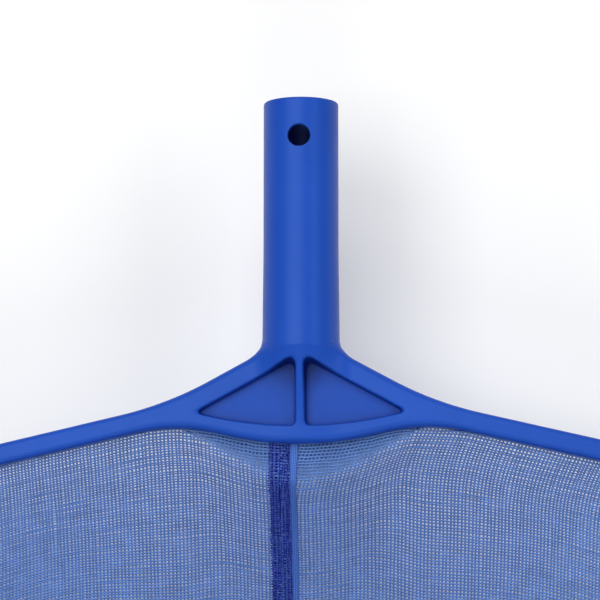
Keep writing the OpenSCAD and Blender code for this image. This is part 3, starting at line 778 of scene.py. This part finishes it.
def even_steps(total, rough=4.0, fine=1.3, back=26.0, front=10.0):
    """Lengths from 0 to total, close together near both ends."""
    if total < back + front + 4:
        return np.linspace(0, total, max(3, int(total / fine)))
    return np.concatenate([np.linspace(0, back, int(back / fine) + 1),
                           np.linspace(back, total - front, max(2, int((total - back - front) / rough)))[1:],
                           np.linspace(total - front, total, int(front / fine) + 1)[1:]])


LEAN_REACH = 34.0
LEAN = 7.0
ROW_EASE = 95.0
ROW_LIMIT = 22.0


def surface_line(x, y, lift):
    z = bag_height(x, y)
    normal = bag_normal(x, y)
    return np.stack([x, y, z], -1) + lift * normal, normal


def mesh_threads(side):
    """The threads of the right (1) or left (-1) panel."""
    lines, normals = [], []
    rng = np.random.default_rng(5 if side > 0 else 6)
    across_fine = np.arange(0, 190, 0.25) * side
    x, y = on_seam_axes(np.zeros_like(across_fine), across_fine)
    z = bag_height(x, y)
    length = np.concatenate([[0], np.cumsum(np.hypot(np.diff(x), np.diff(z)))])
    numbers = np.arange(-SPARE_COLUMNS if side > 0 else 0, int(length[-1] / PITCH))
    columns = np.interp(numbers * PITCH + 0.4, length, across_fine, left=np.nan)
    for index, across in enumerate(columns):
        start = (index - SPARE_COLUMNS) * PITCH + 0.4 if side > 0 else across
        if side > 0 and np.isnan(across):
            across = start
        run = column_run(across)
        if run is None:
            continue
        along, run_length = run
        at = even_steps(run_length[-1])
        place = np.interp(at, run_length, along)
        drift = np.zeros_like(at)
        if side > 0:
            drift = LEAN * np.clip(1 - at / LEAN_REACH, 0, None) ** 2
        wander = WANDER * np.interp(at, np.linspace(0, run_length[-1], 24), rng.standard_normal(24))
        px, py = on_seam_axes(place, across + drift + wander)
        keep = ((px - bag_centre[0]) * seam_across[0] + (py - bag_centre[1]) * seam_across[1]) * side > 0.2
        keep &= inside_mesh(px, py, -0.3)
        add_runs(lines, normals, px, py, keep, -THREAD_OFFSET)

    centre_run = column_run(0.5 * side)
    rim_at_seam = centre_run[0][0]
    acrosses = np.concatenate([np.arange(0.3, 30, 2.5), np.arange(31, 140, 4.0), np.arange(141, 190, 1.2)]) * side
    runs = [(c, column_run(c)) for c in acrosses]
    runs = [(c, r) for c, r in runs if r is not None]
    levels = []
    for _, (along, run_length) in runs:
        drop = ROW_LIMIT * math.tanh((rim_at_seam - along[0]) / ROW_LIMIT)
        ease = np.clip(run_length / ROW_EASE, 0, 1)
        levels.append(run_length + drop * ease * ease * (3 - 2 * ease))
    highest = max(level[-1] for level in levels)
    for k in range(int(highest / ROW_PITCH)):
        value = k * ROW_PITCH + 0.5
        spots = []
        for (_, (along, _)), level in zip(runs, levels):
            spots.append(np.interp(value, level, along) if value <= level[-1] else np.nan)
        spots = np.array(spots)
        c = np.array([c for c, _ in runs])
        wander = WANDER * np.interp(np.arange(len(c)), np.linspace(0, len(c), 18), rng.standard_normal(18))
        px, py = on_seam_axes(spots + wander, c)
        keep = ~np.isnan(spots)
        add_runs(lines, normals, np.nan_to_num(px), np.nan_to_num(py), keep, THREAD_OFFSET)
    return lines, normals


def add_runs(lines, normals, x, y, keep, lift):
    """Adds each unbroken run of kept points as a line on the bag."""
    kept = np.flatnonzero(keep)
    if len(kept) < 2:
        return
    for run in np.split(kept, np.flatnonzero(np.diff(kept) > 1) + 1):
        if len(run) > 1:
            line, normal = surface_line(x[run], y[run], lift)
            lines.append(line)
            normals.append(normal)


def net_panel(name, side, material):
    lines, normals = mesh_threads(side)
    builder = Builder()
    add_tubes(builder, lines, normals, THREAD_R, height=THREAD_HEIGHT)
    return builder.build(name, material)


# ---------------------------------------------------------------- the seam

TAPE_HALF = 4.0
TAPE_LOW, TAPE_HIGH = -0.90, -0.55
FACING_LOW, FACING_HIGH = 0.55, 0.95
FOLD_OUT = 6.8


def seam_stations(count=420):
    along, length = column_run(0.0)
    at = np.linspace(0.4, length[-1] - 0.4, count)
    return np.interp(at, length, along), at


def ribbon(builder, across_0, across_1, low, high, rng, wobble=0.0, across_count=5, slot=0):
    """A closed strip along the seam from low to high above the bag's surface, with rounded edges."""
    along, at = seam_stations()
    t = np.linspace(0, 1, across_count)
    crown = 1 - 0.5 * (np.abs(2 * t - 1)) ** 4
    middle, half_thick = (low + high) / 2, (high - low) / 2
    ring_t = np.concatenate([t, t[::-1]])
    ring_h = np.concatenate([middle - half_thick * crown, (middle + half_thick * crown)[::-1]])
    knots = max(8, int(at[-1] / 6))
    edge_0 = across_0 + wobble * np.interp(at, np.linspace(0, at[-1], knots), rng.standard_normal(knots))
    edge_1 = across_1 + wobble * np.interp(at, np.linspace(0, at[-1], knots), rng.standard_normal(knots))
    across = edge_0[:, None] + (edge_1 - edge_0)[:, None] * ring_t[None, :]
    x, y = on_seam_axes(along[:, None], across)
    normal = bag_normal(x, y)
    points = np.stack([x, y, bag_height(x, y)], -1) + ring_h[None, :, None] * normal
    n, m = points.shape[:2]
    i, k = np.arange(n - 1)[:, None], np.arange(m)[None, :]
    nxt = (k + 1) % m
    quads = np.stack([i * m + k, i * m + nxt, (i + 1) * m + nxt, (i + 1) * m + k], -1).reshape(-1, 4)
    places = np.stack([across, np.broadcast_to(at[:, None], across.shape)], -1).reshape(-1, 2)
    builder.add(points.reshape(-1, 3), quads, places=places, slot=slot)
    caps = np.array([[k, m - 1 - k, m - 2 - k, k + 1] for k in range(across_count - 1)])
    end = caps[:, ::-1] + (n - 1) * m
    builder.faces.append(np.concatenate([caps, end]) + builder.count - n * m)
    builder.normals.append(np.zeros((len(caps) * 8, 3)))
    builder.places.append(np.concatenate([places[caps.ravel()], places[end.ravel()]]))
    builder.slots.append(np.full(len(caps) * 2, slot))


def facing_threads():
    """The fine mesh folded over the seam: wavering rows and broken columns, closer than the panels' own."""
    rng = np.random.default_rng(21)
    along, at = seam_stations(900)
    lines, normals = [], []

    def add(a_values, c_values, lift):
        x, y = on_seam_axes(np.interp(a_values, at, along), c_values)
        line, normal = surface_line(x, y, 0)
        lines.append(line + np.asarray(lift)[..., None] * normal)
        normals.append(normal)

    places = np.arange(0.6, at[-1] - 0.6, 1.02)
    for value in places:
        c = np.linspace(-TAPE_HALF - 0.2, TAPE_HALF + 0.1, 13)
        phase = rng.uniform(0, 6.28)
        row = value + 0.20 * np.sin(c * rng.uniform(0.7, 1.6) + phase) + rng.normal(0, 0.10, len(c))
        lift = 0.72 + 0.10 * np.sin(c * 2.4 + phase)
        add(np.clip(row, 0.2, at[-1] - 0.2), c, lift)
    for c0 in np.linspace(-TAPE_HALF + 0.3, TAPE_HALF - 0.5, 7):
        begin = 0.5
        while begin < at[-1] - 4:
            finish = min(begin + rng.uniform(4, 22), at[-1] - 0.6)
            count = max(3, int((finish - begin) / 0.9))
            v = np.linspace(begin, finish, count)
            c = c0 + rng.normal(0, 0.13, count) + 0.25 * np.sin(v / 6 + c0)
            add(v, c, np.full(count, 0.66))
            begin = finish + rng.uniform(0.6, 3.0)
    return lines, normals


def dashes(across, lift, dash=2.1, gap=0.9, droop=0.12):
    """A row of stitches along the seam: short threads that dive into the cloth at both ends."""
    along, at = seam_stations(900)
    lines, normals = [], []
    for begin in np.arange(0.8, at[-1] - 3, dash + gap):
        v = begin + dash * np.array([0, 0.12, 0.35, 0.65, 0.88, 1])
        x, y = on_seam_axes(np.interp(v, at, along), across + np.zeros(6))
        line, normal = surface_line(x, y, 0)
        height = lift + droop * np.array([-2.0, -0.3, 0.6, 0.6, -0.3, -2.0])
        lines.append(line + height[:, None] * normal)
        normals.append(normal)
    return lines, normals


# ---------------------------------------------------------------- the hem

HEM_SECTION = [(0.9, 0.4), (0.9, 0.85), (7.0, 0.85), (7.0, -0.85), (0.9, -0.85), (0.9, -0.4), (1.95, -0.4), (1.95, 0.4)]
HEM_NORMALS = [(-1, 0), (0, 1), (1, 0), (0, -1), (-1, 0), (0, 1), (-1, 0), (0, -1)]
HEM_THREAD_U = 1.4
HEM_THREAD_Z = 0.97


def hem_tape(material):
    """The binding folded over the mesh's edge, with its places along it and round it."""
    places, outward = hoop_stations(0.0, 1.6)
    stations = (places[:-1], outward[:-1])
    builder = Builder()
    normals = np.array(HEM_NORMALS, float)
    sweep(builder, HEM_SECTION, stations, (normals, normals), closed=True)
    n, m = len(stations[0]), len(HEM_SECTION)
    at = np.concatenate([[0], np.cumsum(np.hypot(*np.diff(places, axis=0).T))])
    section = np.array(HEM_SECTION + HEM_SECTION[:1])
    around = np.concatenate([[0], np.cumsum(np.hypot(*np.diff(section, axis=0).T))])
    i, k = np.arange(n)[:, None], np.arange(m)[None, :]
    corners = np.stack([np.stack(np.broadcast_arrays(around[k + dk], at[i + di]), -1)
                        for di, dk in ((0, 0), (1, 0), (1, 1), (0, 1))], 2)
    builder.places[-1] = corners.reshape(-1, 2)
    return builder.build("hem_tape", material)


def hem_stitches(material, dash=2.1, gap=0.9):
    """Two rows of short threads, above and below, which dive into the hem at both ends."""
    builder = Builder()
    places, outward = hoop_stations(0.0, 1.6)
    line = places + HEM_THREAD_U * outward
    at = np.concatenate([[0], np.cumsum(np.hypot(*np.diff(line, axis=0).T))])
    lines, normals = [], []
    for face in (1, -1):
        for begin in np.arange(0.4, at[-1] - dash, dash + gap):
            v = begin + dash * np.array([0, 0.15, 0.5, 0.85, 1])
            height = HEM_THREAD_Z + np.array([-0.22, -0.03, 0.05, -0.03, -0.22])
            lines.append(np.stack([np.interp(v, at, line[:, 0]), np.interp(v, at, line[:, 1]), face * height], -1))
            normals.append(np.tile([0.0, 0.0, float(face)], (5, 1)))
    add_tubes(builder, lines, normals, 0.12)
    return builder.build("hem_stitches", material)


# ---------------------------------------------------------------- pieces

FRAME_BLUE = (0.014, 0.076, 0.470)
front_plastic = front_material("front_plastic", FRAME_BLUE)
rear_plastic = rear_material("rear_plastic", FRAME_BLUE, (0.78, 0.87, 0.99))
mesh_thread = thread_material("mesh_thread", (0.145, 0.29, 0.70), through=0.10)
facing_thread = thread_material("facing_thread", (0.012, 0.022, 0.44), through=0.1)
fold_cloth = tape_material("fold_cloth", (0.04, 0.12, 0.50), (0.13, 0.25, 0.62))
navy_tape = tape_material("navy_tape", (0.003, 0.004, 0.11), (0.008, 0.012, 0.20))
seam_sewing = thread_material("seam_sewing", (0.05, 0.07, 0.50))
hem_sewing = thread_material("hem_sewing", (0.06, 0.12, 0.42))

front = front_moulding(front_plastic)
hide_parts("front_frame")
nodes["rear_frame"].data.materials.clear()
nodes["rear_frame"].data.materials.append(rear_plastic)

left_net = net_panel("mesh_left", -1, mesh_thread)
right_net = net_panel("mesh_right", 1, mesh_thread)
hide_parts("net_left")
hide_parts("net_right")

seam_rng = np.random.default_rng(3)
maker = Builder()
ribbon(maker, -TAPE_HALF, TAPE_HALF, TAPE_LOW, TAPE_HIGH, seam_rng, 0.06)
tape = maker.build("seam_tape_woven", navy_tape)
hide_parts("seam_tape")

maker = Builder()
ribbon(maker, TAPE_HALF + 0.2, FOLD_OUT, FACING_LOW, FACING_HIGH, seam_rng, 0.12, slot=1)
add_tubes(maker, *facing_threads(), 0.14)
facing = maker.build("seam_facing_mesh", facing_thread, fold_cloth)
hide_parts("seam_facing")

maker = Builder()
for across in (-TAPE_HALF + 1.0, TAPE_HALF - 1.0):
    add_tubes(maker, *dashes(across, 1.02), 0.15)
sewing = maker.build("seam_stitches", seam_sewing)
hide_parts("seam_thread")

hem = hem_tape(navy_tape)
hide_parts("hem_binding")
hem_sewn = hem_stitches(hem_sewing)
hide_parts("hem_thread")
nodes["clamp_screws"].data.materials.clear()
nodes["clamp_screws"].data.materials.append(steel("screw_steel", (0.56, 0.57, 0.58)))

for piece in (front, left_net, right_net, tape, facing, sewing, hem, hem_sewn):
    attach(piece, "root")


# ---------------------------------------------------------------- studio

def look_at(obj, target):
    """Points obj's -Z at target, with the row frame's +Y up in its view."""
    back = (obj.location - Vector(target)).normalized()
    right = Vector((0, 1, 0)).cross(back).normalized()
    obj.rotation_euler = Matrix((right, back.cross(right), back)).transposed().to_euler()


def softbox(name, place, target, width, height, power):
    data = bpy.data.lights.new(name, "AREA")
    data.shape = "RECTANGLE"
    data.size, data.size_y, data.energy = width, height, power
    lamp = bpy.data.objects.new(name, data)
    lamp.location = place
    look_at(lamp, target)
    bpy.context.scene.collection.objects.link(lamp)


softbox("key", (-0.34, 0.06, 1.16), (0, -0.12, 0), 0.95, 0.85, 9.2)
softbox("side", (0.86, 0.05, 0.88), (0, -0.12, 0), 0.34, 0.80, 2.4)
softbox("top", (0.02, 0.90, 1.10), (0, -0.12, 0), 0.50, 0.50, 4.8)
softbox("front", (0.05, -1.10, 0.90), (0, -0.14, 0), 0.80, 0.50, 3.4)

world = bpy.data.worlds.new("studio")
world.use_nodes = True
sky = world.node_tree.nodes["Background"]
sky.inputs["Color"].default_value = (1, 1, 1, 1)
seen = world.node_tree.nodes.new("ShaderNodeLightPath").outputs["Is Camera Ray"]
level = world.node_tree.nodes.new("ShaderNodeMapRange")
level.inputs["To Min"].default_value = 0.17
level.inputs["To Max"].default_value = 1.0
world.node_tree.links.new(seen, level.inputs["Value"])
world.node_tree.links.new(level.outputs["Result"], sky.inputs["Strength"])
bpy.context.scene.world = world

FLOOR_Z = -0.0672


def studio_floor():
    s = Shader("studio_floor")
    path = s.node("LightPath").outputs
    seen = s.node("Math", {0: path["Is Camera Ray"], 1: path["Is Glossy Ray"]}, operation="MAXIMUM").outputs[0]
    seen = s.node("Math", {0: seen, 1: path["Is Transmission Ray"]}, operation="MAXIMUM").outputs[0]
    # Painted shade: the glow seen by the camera, in reflections and through the mesh is weakest near the object and
    # full far from it, so the floor is painted darker round the object.
    away = s.node("VectorMath", {0: s.place}, operation="LENGTH").outputs["Value"]
    level = s.ranged(away, 0.12, 1.0, 0.35, 2.4)
    lift = s.node("Math", {0: seen, 1: level}, operation="MULTIPLY").outputs[0]
    matt = s.node("BsdfDiffuse", {"Color": (0.90, 0.90, 0.90, 1)}).outputs[0]
    glow_with_painted_shade = s.node("Emission", {"Color": (1, 1, 1, 1), "Strength": lift}).outputs[0]
    return s.finish(s.node("AddShader", {0: matt, 1: glow_with_painted_shade}).outputs[0])


half = 4000.0
slab = Builder()
slab.add([(-half, -half, 0), (half, -half, 0), (half, half, 0), (-half, half, 0)], [(0, 1, 2, 3)])
floor = slab.build("floor", studio_floor())
floor.location.z = FLOOR_Z

camera_data = bpy.data.cameras.new("camera")
camera_data.lens = 199.8
camera_data.sensor_width = 36
camera = bpy.data.objects.new("camera", camera_data)
camera.location = (0.077, -0.242, 1.267)
look_at(camera, (-0.0004, -0.062, 0))
bpy.context.scene.collection.objects.link(camera)
bpy.context.scene.camera = camera
bpy.context.scene.view_settings.view_transform = "Standard"
